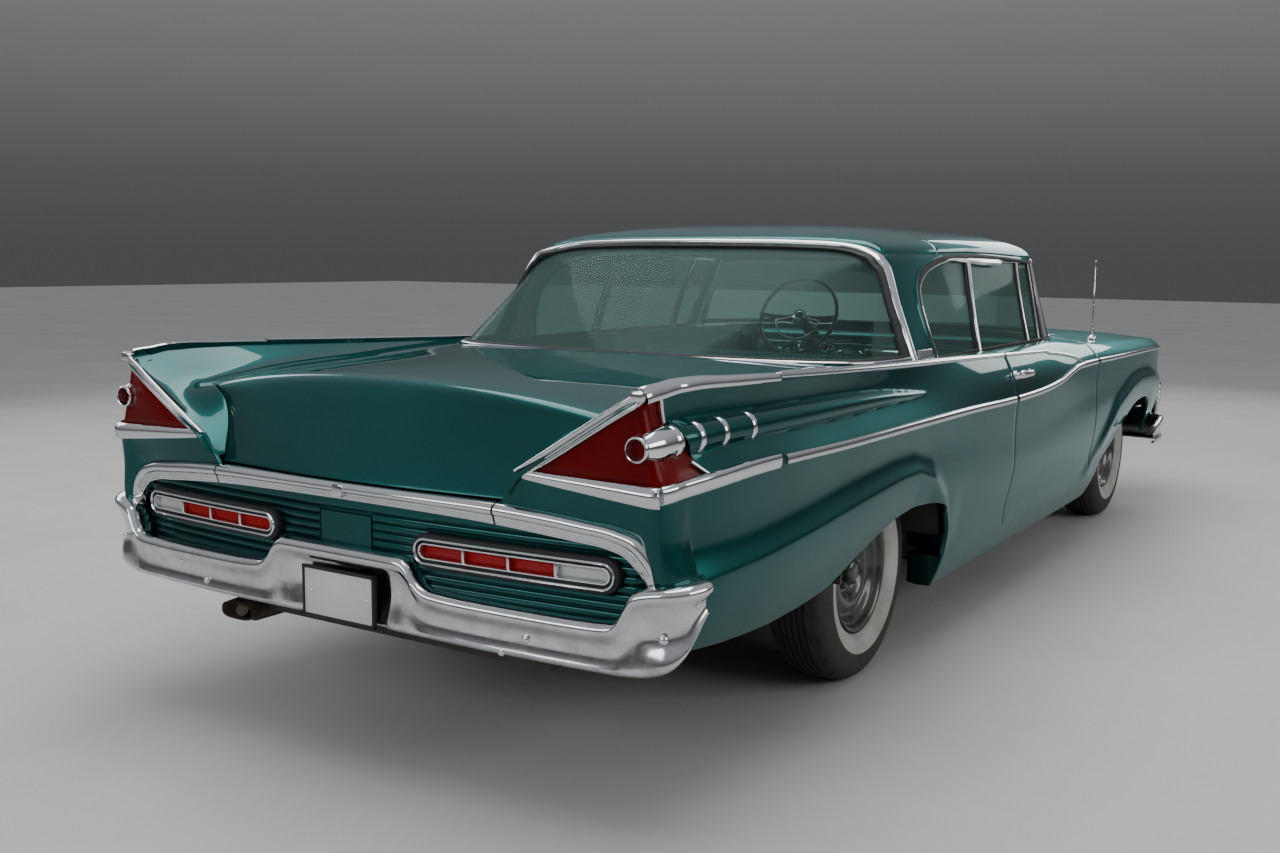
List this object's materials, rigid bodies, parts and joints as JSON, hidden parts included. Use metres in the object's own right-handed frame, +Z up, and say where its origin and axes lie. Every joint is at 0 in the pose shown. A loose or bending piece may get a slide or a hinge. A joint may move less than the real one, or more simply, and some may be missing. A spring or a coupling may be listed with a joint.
{
  "type": "full-size two-door hardtop car, late 1950s",
  "caption": "Road car with a wraparound rear window, tail fins and chrome trim. Doors, hood and trunk open, the front wheels steer and all wheels roll.",
  "frame": {"origin": "on the floor, under the centre of the car's overall box", "axes": "+Z up, the car faces -Y, +X is the car's left side"},
  "size_m": [2.05, 5.532, 1.4469],
  "materials": {
    "body_paint": "glossy metallic teal green",
    "bright_metal": "polished chrome plate",
    "clear_glass": "clear, slightly green",
    "lamp_glass": "fluted clear glass",
    "red_lens": "moulded red lens",
    "plate": "white enamel, blank",
    "frame_paint": "satin black, dusty",
    "underbody": "black undercoat, dusty",
    "iron": "dull, oily",
    "exhaust_steel": "weathered",
    "dash": "satin dark green",
    "seat_cloth": "teal vinyl and cloth",
    "wheel_paint": "gloss black",
    "tyre": "black rubber with a grey-white band"
  },
  "bodies": {
    "body": {"chassis_frame": "frame_paint", "floor_pan": "underbody", "cowl": "body_paint", "rocker_panels": "body_paint", "front_fenders": "body_paint", "quarter_panels": "body_paint", "upper_back_panel": "body_paint", "roof": "body_paint", "windscreen": "clear_glass", "rear_window": "clear_glass", "quarter_windows": "clear_glass", "inner_fenders": "underbody", "grille": "bright_metal", "headlamps": "lamp_glass", "front_bumper": "bright_metal", "rear_bumper": "bright_metal", "rear_panel": "body_paint", "rear_lamp_pods": "red_lens", "tail_lamps": "red_lens", "tail_cones": "bright_metal", "number_plate": "plate", "dashboard": "dash", "steering_column": "dash", "front_seat": "seat_cloth", "rear_seat": "seat_cloth", "parcel_shelf": "seat_cloth", "engine": "iron", "radiator": "iron", "rear_axle": "iron", "leaf_springs": "iron", "driveshaft": "iron", "fuel_tank": "iron", "exhaust": "exhaust_steel", "front_suspension": "iron", "aerial": "bright_metal"},
    "left_door": {"left_door": "body_paint", "left_door_glass": "clear_glass"},
    "right_door": {"right_door": "body_paint", "right_door_glass": "clear_glass"},
    "hood": {"hood": "body_paint"},
    "trunk_lid": {"trunk_lid": "body_paint"},
    "steering_wheel": {"steering_wheel": "dash"},
    "left_knuckle": {"left_knuckle": "iron"},
    "right_knuckle": {"right_knuckle": "iron"},
    "steering_link": {"steering_link": "iron"},
    "front_left_wheel": {"front_left_wheel": "wheel_paint", "front_left_tyre": "tyre"},
    "front_right_wheel": {"front_right_wheel": "wheel_paint", "front_right_tyre": "tyre"},
    "rear_left_wheel": {"rear_left_wheel": "wheel_paint", "rear_left_tyre": "tyre"},
    "rear_right_wheel": {"rear_right_wheel": "wheel_paint", "rear_right_tyre": "tyre"}
  },
  "joints": [
    {"name": "left_door_hinge", "type": "hinge", "parent": "body", "child": "left_door", "pos_m": [1, -0.899, 0.6], "axis": [0, 0, -1], "range_deg": [0, 65]},
    {"name": "right_door_hinge", "type": "hinge", "parent": "body", "child": "right_door", "pos_m": [-1, -0.899, 0.6], "axis": [0, 0, 1], "range_deg": [0, 65]},
    {"name": "hood_hinge", "type": "hinge", "parent": "body", "child": "hood", "pos_m": [0, -1.159, 0.984], "axis": [-1, 0, 0], "range_deg": [0, 45]},
    {"name": "trunk_hinge", "type": "hinge", "parent": "body", "child": "trunk_lid", "pos_m": [0, 1.521, 1.003], "axis": [1, 0, 0], "range_deg": [0, 60]},
    {"name": "steer_left", "type": "hinge", "parent": "body", "child": "left_knuckle", "pos_m": [0.634, -1.854, 0.346], "axis": [0, 0, 1], "range_deg": [-28, 28]},
    {"name": "steer_right", "type": "hinge", "parent": "body", "child": "right_knuckle", "pos_m": [-0.634, -1.854, 0.346], "axis": [0, 0, 1], "range_deg": [-28, 28]},
    {"name": "steering_wheel_turn", "type": "hinge", "parent": "body", "child": "steering_wheel", "pos_m": [0.38, -0.694, 1.035], "axis": [0, 0.891, 0.454], "range_deg": [-565, 565]},
    {"name": "steering_link_slide", "type": "slide", "parent": "body", "child": "steering_link", "axis": [1, 0, 0], "range_m": [-0.075, 0.075]},
    {"name": "front_left_spin", "type": "hinge", "parent": "left_knuckle", "child": "front_left_wheel", "pos_m": [0.762, -1.854, 0.346], "axis": [1, 0, 0], "continuous": true},
    {"name": "front_right_spin", "type": "hinge", "parent": "right_knuckle", "child": "front_right_wheel", "pos_m": [-0.762, -1.854, 0.346], "axis": [1, 0, 0], "continuous": true},
    {"name": "rear_left_spin", "type": "hinge", "parent": "body", "child": "rear_left_wheel", "pos_m": [0.762, 1.346, 0.346], "axis": [1, 0, 0], "continuous": true},
    {"name": "rear_right_spin", "type": "hinge", "parent": "body", "child": "rear_right_wheel", "pos_m": [-0.762, 1.346, 0.346], "axis": [1, 0, 0], "continuous": true}
  ],
  "couplings": [
    {"joint": "steer_right", "follows": "steer_left", "ratio": 1},
    {"joint": "steering_wheel_turn", "follows": "steer_left", "ratio": 20},
    {"joint": "steering_link_slide", "follows": "steer_left", "m_per_rad": -0.15}
  ]
}
